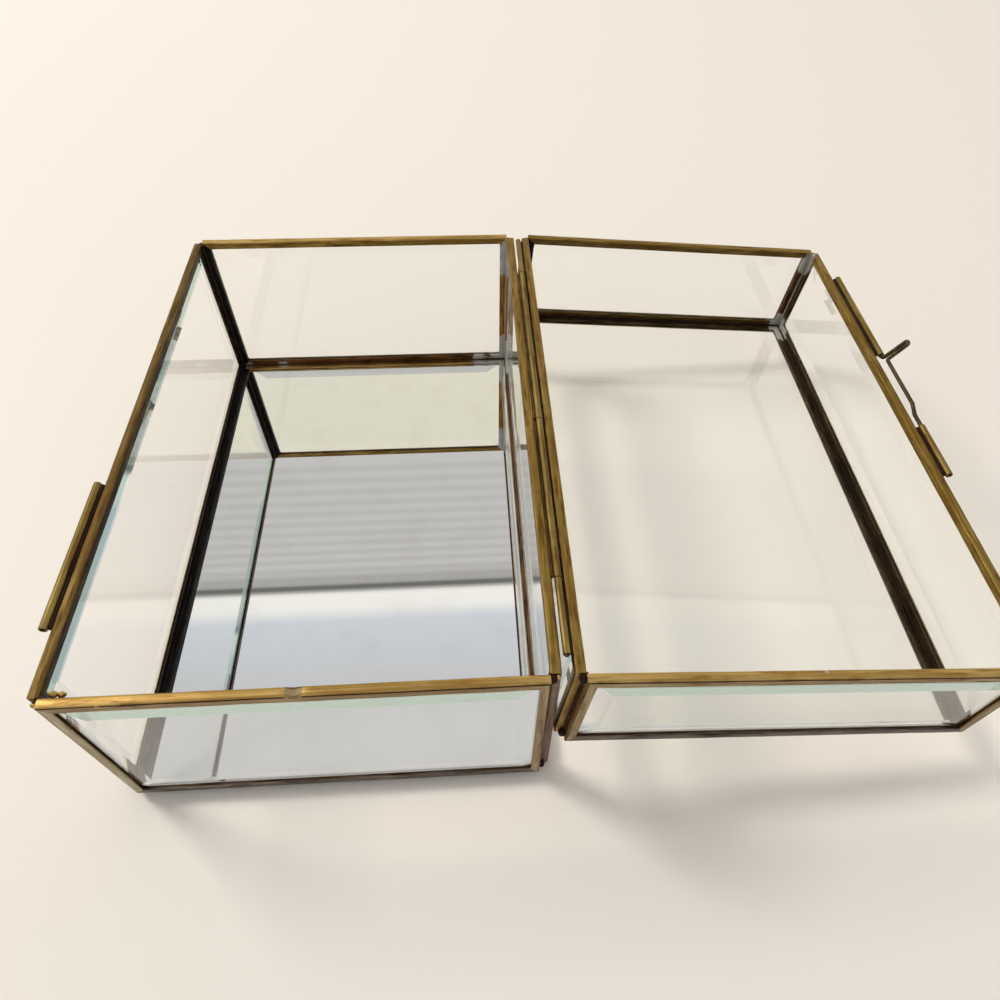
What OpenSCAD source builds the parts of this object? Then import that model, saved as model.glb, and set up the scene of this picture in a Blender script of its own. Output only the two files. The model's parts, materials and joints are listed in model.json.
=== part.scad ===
// Glass casket box for papers and keepsakes.
// Every pane has its own frame of folded brass channel. The frames meet corner to
// corner, with an open square notch outside and a solder fillet inside. The floor
// is a mirror, the other panes are bevelled on their outer face. The lid turns on a
// soldered barrel hinge along the right side, and a wire bolt slides in three tubes
// along the left side. The box stands open, with the lid turned over onto its stop.
// Origin: centre of the base's underside. X across the box, Y along it, Z up.

/* [Box] */
// Width of the box across the hinge, over the brass
box_w = 152; // [110:1:200]
// Length of the box along the hinge, over the brass
box_l = 234; // [205:1:300]
// Height of the base, from the table to its rim
base_h = 79; // [45:1:140]
// Height of the lid, from its rim to its top
lid_h = 49; // [25:1:80]
// Gap between the two rims when the box is shut
rim_gap = 0.3; // [0.2:0.05:0.5]

/* [Brass channel] */
// Thickness of the folded brass sheet
sheet_t = 0.5; // [0.3:0.05:0.6]
// Width of the channel, across its pane
channel_w = 3.4; // [3.2:0.1:5]
// Depth of the channel's flanges over its pane
flange_d = 3.2; // [2.4:0.1:5]
// Outer radius of the channel's two folds
fold_r = 0.45; // [0.2:0.05:0.6]
// Width of the mitre cuts in the flanges
mitre_cut = 0.15; // [0.08:0.01:0.3]

/* [Glass] */
// Thickness of the clear panes inside their bevels
pane_t = 2.7; // [2.3:0.1:2.8]
// Thickness of the clear panes at their edges
pane_edge_t = 1.5; // [1.2:0.1:1.8]
// Width of the bevel, from the pane's edge
bevel_w = 9; // [6:0.5:14]
// Thickness of the floor mirror
mirror_t = 2.1; // [1.6:0.1:2.3]
// Gap between a pane's edge and the fold of its channel
edge_gap = 0.3; // [0.1:0.1:0.6]

/* [Solder] */
// Leg of the fillets in the inner corners
fillet_leg = 1; // [0.8:0.1:2]
// Radius of the tacks in the outer notches
tack_r = 2.6; // [1.5:0.1:3]
// Height of the tacks in the outer notches
tack_h = 4; // [2:0.5:8]
// Height of the solder feet that carry the tubes
foot_h = 1; // [0.6:0.1:1.1]

/* [Hinge] */
// Distance from the wall's outer face to the hinge axis
hinge_off = 1.95; // [1.7:0.05:3]
// Outer diameter of the hinge tubes
hinge_tube_d = 2.4; // [2.2:0.1:2.8]
// Diameter of the hinge pin
hinge_pin_d = 1.4; // [1:0.1:1.7]
// Radial clearance of the pin in its tubes
hinge_fit = 0.06; // [0.03:0.01:0.1]
// Gap between neighbouring hinge tubes
tube_gap = 0.3; // [0.2:0.1:0.8]
// Length of the two short tubes on the lid
lid_tube_l = 26.6; // [15:0.2:35]
// Length of the nearer tube on the base
base_tube_l = 70.6; // [40:0.2:90]
// Distance from the near end of the wall to the first tube
near_inset = 5.8; // [2:0.2:12]
// Distance from the last tube to the far end of the wall
far_inset = 3.2; // [2:0.2:12]
// How far the pin stands out of the last tubes
pin_proud = 0.5; // [0.2:0.1:1.5]
// Gap that the open lid keeps from the base's wall, where it stops
stop_gap = 0.3; // [0.2:0.05:0.6]

/* [Latch] */
// Distance from the wall's outer face to the bolt's axis
latch_off = 2.2; // [1.8:0.1:3]
// Outer diameter of the latch tubes
latch_tube_d = 2.7; // [2.5:0.1:3.2]
// Diameter of the bolt's wire
wire_d = 1.6; // [1.2:0.1:1.6]
// Radial clearance of the bolt in its tubes
latch_fit = 0.1; // [0.05:0.01:0.1]
// Length of the long tube on the lid
long_tube_l = 57; // [30:1:60]
// Gap between the lid's two tubes, where the finger tab moves
tab_gap = 43.5; // [36:0.5:60]
// Length of the short tube on the lid
short_tube_l = 26; // [24:0.5:32]
// Gap between the short tube and the catch tube
catch_gap = 0.3; // [0.2:0.1:1]
// Length of the catch tube on the base
catch_tube_l = 57; // [30:1:60]
// How far the bolt slides
bolt_travel = 6; // [5:0.5:8]
// How far the resting bolt's tip stays inside the short tube
tip_inset = 1; // [0.5:0.5:3]
// How far the resting bolt's tail ends inside the long tube's far end
tail_inset = 7; // [1:0.5:14]
// How far the finger tab stands out from the bolt's axis
tab_out = 6; // [5:0.2:12]
// How far the finger tab drops below the bolt's axis
tab_drop = 10; // [6:0.5:13]
// Spacing of the finger tab's two legs at its tip
leg_step = 1.95; // [1.9:0.05:3]
// Spacing of the finger tab's two legs at its root
root_step = 2; // [1.9:0.1:2.8]
// How far the wire between tab and jog stands out from the axis
run_out = 0.9; // [0.4:0.1:2]
// How far the wire between tab and jog drops below the axis
run_drop = 0.9; // [0.4:0.1:2]
// Length of the jog back onto the axis
jog_l = 5.4; // [4:0.2:12]
// Radius of the wire's tight bends, on its centre line
bend_r = 0.92; // [0.9:0.01:0.95]
// Radius of the jog's two gentle bends
jog_r = 6; // [3:0.5:10]
// How much thicker the bent wire is than the straight wire
bend_swell = 0.04; // [0.02:0.01:0.1]
// Length of the taper at the bolt's tip
tip_taper = 0.6; // [0.3:0.1:1]

/* [Hidden] */

round_fn = 48;
fold_fn = 24;
through = 1;

brass = [0.60, 0.46, 0.20];
tube_brass = [0.56, 0.46, 0.24];
wire_brass = [0.40, 0.33, 0.20];
solder_grey = [0.55, 0.54, 0.51];
clear_glass = [0.80, 0.92, 0.90, 0.30];
mirror_blue = [0.72, 0.77, 0.83];

// Inner half sizes, to the inner faces of the wall channels
in_x = box_w / 2 - channel_w;
in_y = box_l / 2 - channel_w;
// Outlines of the wall frames
end_w = 2 * in_x;
side_w = 2 * in_y;
base_wall_h = base_h - channel_w;
lid_wall_h = lid_h - channel_w;
// Levels of the shut box
lid_z = base_h + rim_gap;
split_z = base_h + rim_gap / 2;

// Turns about Z that bring the near wall's place to each wall's place
near_turn = 0;
hinge_turn = 90;
far_turn = 180;
latch_turn = 270;

// Hinge axis and the places of its tubes along Y
hinge_x = box_w / 2 + hinge_off;
hinge_bore_d = hinge_pin_d + 2 * hinge_fit;
hinge_y0 = -in_y + near_inset;
hinge_y1 = hinge_y0 + lid_tube_l;
hinge_y2 = hinge_y1 + tube_gap + base_tube_l;
hinge_y5 = in_y - far_inset;
hinge_y4 = hinge_y5 - lid_tube_l;

// The open lid stops where its hinge wall's lower edge comes stop_gap from the base
stop_drop = rim_gap / 2 + lid_wall_h;
stop_reach = sqrt(hinge_off * hinge_off + stop_drop * stop_drop);
lid_turn = 180 + acos((stop_gap - hinge_off) / stop_reach) - atan2(stop_drop, hinge_off);

// Latch axis and the places of its tubes along Y, centred on the box
latch_x = -box_w / 2 - latch_off;
latch_bore_d = wire_d + 2 * latch_fit;
latch_l = long_tube_l + tab_gap + short_tube_l + catch_gap + catch_tube_l;
long_y1 = latch_l / 2;
long_y0 = long_y1 - long_tube_l;
short_y1 = long_y0 - tab_gap;
short_y0 = short_y1 - short_tube_l;
catch_y1 = short_y0 - catch_gap;
catch_y0 = catch_y1 - catch_tube_l;

// The bolt's route: tail, finger tab, run, jog and tip. tab_clear and jog_clear are
// what stays between its bends and the tubes at the two ends of its travel.
tab_clear = 0.9;
jog_clear = 0.8;
tab_y = long_y0 - bend_r - tab_clear;
jog_y0 = short_y1 + bolt_travel + jog_clear;
tip_y = short_y0 + tip_inset;
tail_y = long_y1 - tail_inset;
bolt_route = [
    [latch_x, tail_y, split_z],
    [latch_x, tab_y, split_z],
    [latch_x - tab_out, tab_y, split_z - tab_drop],
    [latch_x - tab_out, tab_y - leg_step, split_z - tab_drop],
    [latch_x - run_out, tab_y - root_step, split_z - run_drop],
    [latch_x - run_out, jog_y0 + jog_l, split_z - run_drop],
    [latch_x, jog_y0, split_z],
    [latch_x, tip_y + tip_taper, split_z]
];
bolt_bends = [0, bend_r, bend_r, bend_r, bend_r, jog_r, jog_r, 0];
bend_lap = 0.05;

// ---------------------------------------------------------------- helpers

// Box centred in X and Y, standing on z = 0
module slab(a, b, h) {
    translate([-a / 2, -b / 2, 0]) cube([a, b, h]);
}

// Rectangle a by h with rounded corners, centred in X, standing on y = 0
module rounded_strip(a, h, r) {
    translate([-a / 2 + r, 0]) square([a - 2 * r, h]);
    translate([-a / 2, r]) square([a, h - 2 * r]);
    for (sx = [-1, 1], y = [r, h - r])
        translate([sx * (a / 2 - r), y]) circle(r = r, $fn = fold_fn);
}

// Shape with its section in X and Z, drawn out to length b along Y
module drawn_along_y(b) {
    translate([0, b / 2, 0]) rotate([90, 0, 0]) linear_extrude(b) children();
}

// Channel folded round a pane of outline a by b. Its inner face lies on z = 0.
// The strip's two ends meet in the mitre at the corner -X -Y.
module channel_frame(a, b) {
    slit_from = sheet_t + mitre_cut;
    slit_l = (flange_d - sheet_t) * sqrt(2) + through;
    difference() {
        intersection() {
            drawn_along_y(b) rounded_strip(a, channel_w, fold_r);
            rotate([0, 0, 90]) drawn_along_y(a) rounded_strip(b, channel_w, fold_r);
        }
        translate([0, 0, -through])
            slab(a - 2 * flange_d, b - 2 * flange_d, channel_w + 2 * through);
        translate([0, 0, sheet_t])
            slab(a - 2 * sheet_t, b - 2 * sheet_t, channel_w - 2 * sheet_t);
        for (corner = [0 : 3]) {
            sx = (corner == 0 || corner == 3) ? -1 : 1;
            sy = corner < 2 ? -1 : 1;
            out = corner == 0 ? -through : slit_from;
            translate([sx * (a / 2 - out), sy * (b / 2 - out), -through])
                rotate([0, 0, atan2(-sy, -sx)])
                    translate([0, -mitre_cut / 2, 0])
                        cube([slit_l + (slit_from - out) * sqrt(2), mitre_cut,
                              channel_w + 2 * through]);
        }
    }
}

// Clear pane for a frame of outline a by b, bevelled on its outer face
module bevelled_pane(a, b) {
    pa = a - 2 * (sheet_t + edge_gap);
    pb = b - 2 * (sheet_t + edge_gap);
    translate([0, 0, sheet_t]) intersection() {
        drawn_along_y(pb) bevel_section(pa);
        rotate([0, 0, 90]) drawn_along_y(pa) bevel_section(pb);
    }
}

// Section through a bevelled pane of width w
module bevel_section(w) {
    polygon([
        [-w / 2, 0], [w / 2, 0], [w / 2, pane_edge_t], [w / 2 - bevel_w, pane_t],
        [-w / 2 + bevel_w, pane_t], [-w / 2, pane_edge_t]
    ]);
}

// Flat mirror for a frame of outline a by b, lying on the outer flange
module flat_mirror(a, b) {
    translate([0, 0, channel_w - sheet_t - mirror_t])
        slab(a - 2 * (sheet_t + edge_gap), b - 2 * (sheet_t + edge_gap), mirror_t);
}

// Wall's place: its inner face at distance reach from the middle, centred at height z
module wall_place(turn, reach, z, roll = 0) {
    rotate([0, 0, turn]) translate([0, -reach, z]) rotate([90, 0, 0])
        rotate([0, 0, roll]) children();
}

module base_wall(turn, reach) {
    wall_place(turn, reach, channel_w + base_wall_h / 2) children();
}

module lid_wall(turn, reach) {
    wall_place(turn, reach, lid_z + lid_wall_h / 2, 180) children();
}

// Turns a piece of the shut lid over into its resting place
module opened() {
    translate([hinge_x, 0, split_z]) rotate([0, lid_turn, 0])
        translate([-hinge_x, 0, -split_z]) children();
}

// Section of a solder fillet in the corner at the origin, towards -X and -Y
module fillet_section() {
    waist = 0.35 * fillet_leg;
    polygon([[0, 0], [-fillet_leg, 0], [-waist, -waist], [0, -fillet_leg]]);
}

// Upright fillets in the four inner corners, from z0 to z1
module corner_fillets(z0, z1) {
    for (sx = [0, 1], sy = [0, 1])
        mirror([sx, 0, 0]) mirror([0, sy, 0])
            translate([in_x, in_y, z0]) linear_extrude(z1 - z0) fillet_section();
}

// Quarter-round tacks in the four outer notches, from z0 up
module notch_tacks(z0) {
    for (sx = [0, 1], sy = [0, 1])
        mirror([sx, 0, 0]) mirror([0, sy, 0])
            translate([in_x, in_y, z0])
                rotate_extrude(angle = 90, $fn = round_fn) square([tack_r, tack_h]);
}

// Level fillets between a lying frame and the four walls. up turns them over.
module edge_fillets(z, up) {
    for (turn = [0, 180]) rotate([0, 0, turn]) {
        translate([-in_x + fillet_leg, in_y, z]) mirror([0, 0, up])
            rotate([90, 0, 90]) linear_extrude(end_w - 2 * fillet_leg) fillet_section();
        translate([in_x, in_y - fillet_leg, z]) mirror([0, 0, up])
            rotate([90, 0, 0]) linear_extrude(side_w - 2 * fillet_leg) fillet_section();
    }
}

// Tube on a solder foot, from y0 to y1. The foot reaches from the wall to the axis,
// and goes foot_h down from the base's rim, or up from the lid's rim.
module soldered_tube(axis_x, off, y0, y1, od, bore, on_lid) {
    foot_x = axis_x > 0 ? axis_x - off : axis_x;
    foot_z = on_lid ? lid_z : base_h - foot_h;
    difference() {
        union() {
            translate([axis_x, y0, split_z]) rotate([-90, 0, 0])
                cylinder(d = od, h = y1 - y0, $fn = round_fn);
            translate([foot_x, y0, foot_z]) cube([off, y1 - y0, foot_h]);
        }
        translate([axis_x, y0 - through, split_z]) rotate([-90, 0, 0])
            cylinder(d = bore, h = y1 - y0 + 2 * through, $fn = round_fn);
    }
}

module hinge_tube(y0, y1, on_lid) {
    soldered_tube(hinge_x, hinge_off, y0, y1, hinge_tube_d, hinge_bore_d, on_lid);
}

module latch_tube(y0, y1, on_lid) {
    soldered_tube(latch_x, latch_off, y0, y1, latch_tube_d, latch_bore_d, on_lid);
}

function unit(v) = v / norm(v);
// Length that a bend of radius r takes from each leg at corner i of a route
function bend_take(route, r, i) =
    let (u = unit(route[i] - route[i - 1]), v = unit(route[i + 1] - route[i]))
    r * tan(acos(u * v) / 2);

// Round wire along a route of corners, each corner bent to its own radius.
// The straight legs reach bend_lap into the bends, which are a little thicker.
module bent_wire(route, bends, d) {
    last = len(route) - 1;
    take = [for (i = [0 : last])
        (i == 0 || i == last) ? 0 : bend_take(route, bends[i], i) - bend_lap];
    for (i = [0 : last - 1]) {
        dir = unit(route[i + 1] - route[i]);
        from = route[i] + dir * take[i];
        leg = norm(route[i + 1] - route[i]) - take[i] - take[i + 1];
        translate(from) rotate([0, acos(dir[2]), atan2(dir[1], dir[0])])
            cylinder(d = d, h = leg, $fn = round_fn);
    }
    for (i = [1 : last - 1]) {
        u = unit(route[i] - route[i - 1]);
        v = unit(route[i + 1] - route[i]);
        inward = unit(v - u * (u * v));
        centre = route[i] - u * bend_take(route, bends[i], i) + inward * bends[i];
        axis = cross(-inward, u);
        multmatrix([
            [-inward[0], u[0], axis[0], centre[0]],
            [-inward[1], u[1], axis[1], centre[1]],
            [-inward[2], u[2], axis[2], centre[2]],
            [0, 0, 0, 1]
        ])
            rotate_extrude(angle = acos(u * v), $fn = round_fn)
                translate([bends[i], 0]) circle(d = d + bend_swell, $fn = round_fn);
    }
}

// ---------------------------------------------------------------- base

module base_near_frame() {
    color(brass) base_wall(near_turn, in_y) channel_frame(end_w, base_wall_h);
}

module base_near_glass() {
    color(clear_glass) base_wall(near_turn, in_y) bevelled_pane(end_w, base_wall_h);
}

module base_far_frame() {
    color(brass) base_wall(far_turn, in_y) channel_frame(end_w, base_wall_h);
}

module base_far_glass() {
    color(clear_glass) base_wall(far_turn, in_y) bevelled_pane(end_w, base_wall_h);
}

module base_latch_frame() {
    color(brass) base_wall(latch_turn, in_x) channel_frame(side_w, base_wall_h);
}

module base_latch_glass() {
    color(clear_glass) base_wall(latch_turn, in_x) bevelled_pane(side_w, base_wall_h);
}

module base_hinge_frame() {
    color(brass) base_wall(hinge_turn, in_x) channel_frame(side_w, base_wall_h);
}

module base_hinge_glass() {
    color(clear_glass) base_wall(hinge_turn, in_x) bevelled_pane(side_w, base_wall_h);
}

module floor_frame() {
    color(brass) translate([0, 0, channel_w]) rotate([180, 0, 0])
        channel_frame(end_w, side_w);
}

module floor_mirror() {
    color(mirror_blue) translate([0, 0, channel_w]) rotate([180, 0, 0])
        flat_mirror(end_w, side_w);
}

module base_corner_solder() {
    color(solder_grey) {
        corner_fillets(channel_w, base_h - fold_r);
        notch_tacks(channel_w);
        notch_tacks(base_h - fold_r - tack_h);
    }
}

module floor_solder() {
    color(solder_grey) edge_fillets(channel_w, 1);
}

module base_hinge_tube_near() {
    color(tube_brass) hinge_tube(hinge_y1 + tube_gap, hinge_y2, false);
}

module base_hinge_tube_far() {
    color(tube_brass) hinge_tube(hinge_y2 + tube_gap, hinge_y4 - tube_gap, false);
}

module hinge_pin() {
    color(wire_brass) translate([hinge_x, hinge_y0 - pin_proud, split_z])
        rotate([-90, 0, 0])
            cylinder(d = hinge_pin_d, h = hinge_y5 - hinge_y0 + 2 * pin_proud,
                     $fn = round_fn);
}

module catch_tube() {
    color(tube_brass) latch_tube(catch_y0, catch_y1, false);
}

// ---------------------------------------------------------------- lid

module lid_near_frame() {
    color(brass) opened() lid_wall(near_turn, in_y) channel_frame(end_w, lid_wall_h);
}

module lid_near_glass() {
    color(clear_glass) opened() lid_wall(near_turn, in_y)
        bevelled_pane(end_w, lid_wall_h);
}

module lid_far_frame() {
    color(brass) opened() lid_wall(far_turn, in_y) channel_frame(end_w, lid_wall_h);
}

module lid_far_glass() {
    color(clear_glass) opened() lid_wall(far_turn, in_y)
        bevelled_pane(end_w, lid_wall_h);
}

module lid_latch_frame() {
    color(brass) opened() lid_wall(latch_turn, in_x) channel_frame(side_w, lid_wall_h);
}

module lid_latch_glass() {
    color(clear_glass) opened() lid_wall(latch_turn, in_x)
        bevelled_pane(side_w, lid_wall_h);
}

module lid_hinge_frame() {
    color(brass) opened() lid_wall(hinge_turn, in_x) channel_frame(side_w, lid_wall_h);
}

module lid_hinge_glass() {
    color(clear_glass) opened() lid_wall(hinge_turn, in_x)
        bevelled_pane(side_w, lid_wall_h);
}

module lid_top_frame() {
    color(brass) opened() translate([0, 0, lid_z + lid_wall_h])
        channel_frame(end_w, side_w);
}

module lid_top_glass() {
    color(clear_glass) opened() translate([0, 0, lid_z + lid_wall_h])
        bevelled_pane(end_w, side_w);
}

module lid_corner_solder() {
    color(solder_grey) opened() {
        corner_fillets(lid_z + fold_r, lid_z + lid_wall_h);
        notch_tacks(lid_z + fold_r);
        notch_tacks(lid_z + lid_wall_h - tack_h);
    }
}

module lid_top_solder() {
    color(solder_grey) opened() edge_fillets(lid_z + lid_wall_h, 0);
}

module lid_hinge_tube_near() {
    color(tube_brass) opened() hinge_tube(hinge_y0, hinge_y1, true);
}

module lid_hinge_tube_far() {
    color(tube_brass) opened() hinge_tube(hinge_y4, hinge_y5, true);
}

module latch_tube_long() {
    color(tube_brass) opened() latch_tube(long_y0, long_y1, true);
}

module latch_tube_short() {
    color(tube_brass) opened() latch_tube(short_y0, short_y1, true);
}

// Bolt bent from one wire, with its finger tab and its tapered tip
module latch_bolt() {
    color(wire_brass) opened() {
        bent_wire(bolt_route, bolt_bends, wire_d);
        translate([latch_x, tip_y + tip_taper + bend_lap, split_z]) rotate([90, 0, 0])
            cylinder(d1 = wire_d - bend_swell, d2 = wire_d / 2, h = tip_taper + bend_lap,
                     $fn = round_fn);
    }
}

// ---------------------------------------------------------------- nodes

base_near_frame();
base_near_glass();
base_far_frame();
base_far_glass();
base_latch_frame();
base_latch_glass();
base_hinge_frame();
base_hinge_glass();
floor_frame();
floor_mirror();
base_corner_solder();
floor_solder();
base_hinge_tube_near();
base_hinge_tube_far();
hinge_pin();
catch_tube();
lid_near_frame();
lid_near_glass();
lid_far_frame();
lid_far_glass();
lid_latch_frame();
lid_latch_glass();
lid_hinge_frame();
lid_hinge_glass();
lid_top_frame();
lid_top_glass();
lid_corner_solder();
lid_top_solder();
lid_hinge_tube_near();
lid_hinge_tube_far();
latch_tube_long();
latch_tube_short();
latch_bolt();
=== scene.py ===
"""Glass casket box: the finish of its folded brass, solder, bevelled panes and mirror.

Pieces are modelled with the box shut and standing square. The lid's pieces are then
turned over about the hinge into their resting place. All lengths are in metres.
"""

import json
import math

import bmesh
import bpy
from mathutils import Matrix, Quaternion, Vector


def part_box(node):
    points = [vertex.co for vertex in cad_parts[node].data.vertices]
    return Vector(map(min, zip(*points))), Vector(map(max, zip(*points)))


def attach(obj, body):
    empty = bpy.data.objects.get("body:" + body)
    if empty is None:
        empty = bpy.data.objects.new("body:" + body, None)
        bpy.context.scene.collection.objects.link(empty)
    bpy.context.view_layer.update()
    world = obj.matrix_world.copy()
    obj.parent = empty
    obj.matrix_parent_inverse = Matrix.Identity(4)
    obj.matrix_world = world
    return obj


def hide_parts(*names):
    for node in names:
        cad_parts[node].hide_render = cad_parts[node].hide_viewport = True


MM = 0.001

# Brass sheet, folded into the channels
SHEET = 0.5 * MM
FLANGE = 3.2 * MM
FOLD = 0.5 * MM
MITRE_GAP = 0.12 * MM
EDGE_GAP = 0.3 * MM
ARRIS = 0.07 * MM
STEP = 2.5 * MM

# Zones of a channel: how far in from its outline the web ends and a crease starts
WEB_INSET = 0.24 * MM
CREASE_INSET = 0.1 * MM

# Panes, on the flange that faces the inside of the box
PANE = 2.7 * MM
PANE_EDGE = 1.5 * MM
BEVEL = 9.0 * MM
GREEN_REACH = 6.2 * MM
MIRROR_ARRIS = 0.25 * MM

# Hand work: how far the brass and the solder stray from true, and the size of each wave
BRASS_WOBBLE = 0.16 * MM
BRASS_WAVE = 14 * MM
TUBE_WOBBLE = 0.12 * MM
TUBE_WAVE = 8 * MM
BEAD_LUMPS = 0.42 * MM
BEAD_WAVE = 3.5 * MM
DROP_LUMPS = 0.7 * MM
DROP_WAVE = 1.8 * MM

# Dents in the rims: where along the rim, and how deep
DENTS = {"base_near_channel": (-1.4 * MM, 0.6 * MM), "lid_near_channel": (14 * MM, 0.3 * MM)}
DENT_ACROSS = 0.6
DENT_REACH = 1.6 * MM

# Solder: beads in the inner corners, runs and drops in the outer notches
BEAD_SIDES = 12
BEAD_STEP = 1.2 * MM
SEAM_INSET = 0.12 * MM
SEAM_RADIUS = 0.5 * MM
NOTCH_RUN = 0.3 * MM
NOTCH_REACH = 0.8 * MM
NOTCH_DROP = (2.5 * MM, 2.5 * MM, 3.8 * MM)
DROP_OFF_FLAT = 1.6 * MM
DROP_OFF_RIM = 2.2 * MM
LEVEL_SEED = 5

# Brass-coloured drops at the base's rim: corner, offset from it and size, the last two in mm
GOLD_DROPS = [
    (-1, -1, (3.6, 1.1, -0.5), (2.8, 1.7, 2.4)),
    (-1, -1, (6.2, 1.0, -0.7), (2.6, 1.6, 2.0)),
    (-1, -1, (0.6, -1.4, -1.1), (3.0, 2.4, 2.0)),
    (-1, -1, (-1.2, -1.6, -1.2), (1.8, 1.6, 1.6)),
    (-1, -1, (17.0, -3.0, -0.5), (2.0, 1.4, 1.0)),
    (1, -1, (2.4, -0.6, -0.9), (1.5, 1.3, 1.6)),
]

# Tubes: the side of each that its wall is on, and how it is rolled and soldered
TUBE_SIDE = {
    "base_hinge_tube_near": -1,
    "base_hinge_tube_far": -1,
    "lid_hinge_tube_near": -1,
    "lid_hinge_tube_far": -1,
    "latch_tube_long": 1,
    "latch_tube_short": 1,
    "catch_tube": 1,
}
TUBE_FACETS = 48
TUBE_WALL = 0.42 * MM
TUBE_ARRIS = 0.06 * MM
TUBE_SEAM = math.radians(28)
TUBE_SEAM_REACH = math.radians(5)
FOOT_OFF = 0.5 * MM
FOOT_RADIUS = 0.66 * MM
FOOT_REACH = 0.2
FOOT_SHORT = 0.4 * MM

# Modelling: tolerances, the angles that part sharp edges from smooth ones, and how far
# apart the grain of level bars and of upright ones is taken from
SNAP = MM / 10
FINE_SNAP = MM / 50
SHARP = math.radians(60)
SMOOTH = math.radians(40)
GRAIN_APART = 1.0

# Camera: where it stands, where it looks, and how far it is rolled
CAMERA_PLACE = Vector((51.89, -205.49, 276.68)) * MM
CAMERA_AZIMUTH = math.radians(4.395)
CAMERA_ELEVATION = math.radians(51.455)
CAMERA_ROLL = math.radians(1.379)
CAMERA_LENS = 26.31
CAMERA_SHIFT = -0.00815


# ---------------------------------------------------------------- frame

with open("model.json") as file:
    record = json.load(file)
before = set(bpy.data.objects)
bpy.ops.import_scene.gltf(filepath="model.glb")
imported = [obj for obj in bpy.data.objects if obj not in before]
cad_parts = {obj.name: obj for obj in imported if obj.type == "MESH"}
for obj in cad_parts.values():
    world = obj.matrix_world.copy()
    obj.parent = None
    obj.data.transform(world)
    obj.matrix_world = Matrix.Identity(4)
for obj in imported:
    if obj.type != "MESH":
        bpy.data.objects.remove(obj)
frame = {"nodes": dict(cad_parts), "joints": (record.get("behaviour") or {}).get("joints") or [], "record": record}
bpy.ops.object.select_all(action="DESELECT")
nodes = frame["nodes"]
bodies = frame["record"]["behaviour"]["bodies"]
body_of_node = {node: body for body, names in bodies.items() for node in names}
joints = {joint["name"]: joint for joint in frame["joints"]}
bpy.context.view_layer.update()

hinge = joints["lid_hinge"]
hinge_at = Vector(hinge["pos_m"])
shutting = (
    Matrix.Translation(hinge_at)
    @ Matrix.Rotation(math.radians(hinge["range_deg"][1]), 4, Vector(hinge["axis"]))
    @ Matrix.Translation(-hinge_at)
)
opening = shutting.inverted()


def shut_box(node):
    """Lowest and highest corner of a node with the lid shut."""
    turn = Matrix.Identity(4) if body_of_node[node] == "base" else shutting
    corners = [turn @ vertex.co for vertex in nodes[node].data.vertices]
    low = Vector([min(corner[i] for corner in corners) for i in range(3)])
    high = Vector([max(corner[i] for corner in corners) for i in range(3)])
    return low, high


# ---------------------------------------------------------------- modelling

def start(piece_name):
    """Names the new primitive and opens it for editing."""
    piece = bpy.context.object
    piece.name = piece_name
    piece.data.name = piece_name
    bpy.ops.object.mode_set(mode="EDIT")
    return piece


def pick(piece, kind, test):
    """Selects the vertices or edges of an open piece that pass a test."""
    mode = {"verts": "VERT", "edges": "EDGE"}[kind]
    bpy.ops.mesh.select_mode(type=mode)
    bpy.ops.mesh.select_all(action="DESELECT")
    mesh = bmesh.from_edit_mesh(piece.data)
    for element in getattr(mesh, kind):
        if test(element):
            element.select_set(True)
    bmesh.update_edit_mesh(piece.data)


def middle(edge):
    """Middle point of an edge."""
    return (edge.verts[0].co + edge.verts[1].co) / 2


def along(edge, axis):
    """True if an edge runs along axis 0, 1 or 2."""
    way = edge.verts[1].co - edge.verts[0].co
    return abs(way[axis]) > 0.99 * way.length


def apply_modifier(piece, kind, **settings):
    """Adds a modifier with its settings and applies it."""
    modifier = piece.modifiers.new(kind.lower(), kind)
    for key, value in settings.items():
        setattr(modifier, key, value)
    bpy.ops.object.modifier_apply(modifier=modifier.name)


def close(piece):
    """Ends the editing of a piece and leaves it as the only one selected."""
    bpy.ops.object.mode_set(mode="OBJECT")
    bpy.ops.object.select_all(action="DESELECT")
    piece.select_set(True)
    bpy.context.view_layer.objects.active = piece


def wobble(piece, size, strength, seed):
    """Pushes the surface in and out by a soft cloud pattern, a fresh one for each seed."""
    cloud = bpy.data.textures.new(f"{piece.name}_wobble", "CLOUDS")
    cloud.noise_scale = size
    cloud.noise_depth = 2
    shift = Vector((seed * 0.37, seed * 0.11, 0))
    piece.location = shift
    bpy.ops.object.transform_apply(location=True, rotation=False, scale=False)
    apply_modifier(piece, "DISPLACE", texture=cloud, strength=strength, mid_level=0.5)
    piece.location = -shift
    bpy.ops.object.transform_apply(location=True, rotation=False, scale=False)


def thicken(piece, sheet, arris, wave, strength, seed):
    """Ends the editing of a skin, and gives it its waves, its thickness and its arrises."""
    bpy.ops.mesh.select_all(action="SELECT")
    bpy.ops.mesh.normals_make_consistent(inside=False)
    close(piece)
    side = max(piece.data.polygons, key=lambda f: f.center.x)
    if side.normal.x < 0:
        piece.data.flip_normals()
    wobble(piece, wave, strength, seed)
    apply_modifier(piece, "SOLIDIFY", thickness=sheet, offset=-1)
    apply_modifier(piece, "BEVEL", width=arris, segments=1, limit_method="ANGLE",
                   angle_limit=SHARP)
    bpy.ops.object.shade_smooth_by_angle(angle=SMOOTH)


def outward():
    """Turns every face of the active piece outward. Its shells are closed."""
    bpy.ops.object.mode_set(mode="EDIT")
    bpy.ops.mesh.select_all(action="SELECT")
    bpy.ops.mesh.normals_make_consistent(inside=False)
    bpy.ops.object.mode_set(mode="OBJECT")


def put(piece, place):
    """Moves a piece's mesh to its place in the shut box."""
    piece.matrix_world = place
    bpy.context.view_layer.update()
    bpy.ops.object.transform_apply(location=True, rotation=True, scale=True)


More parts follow.
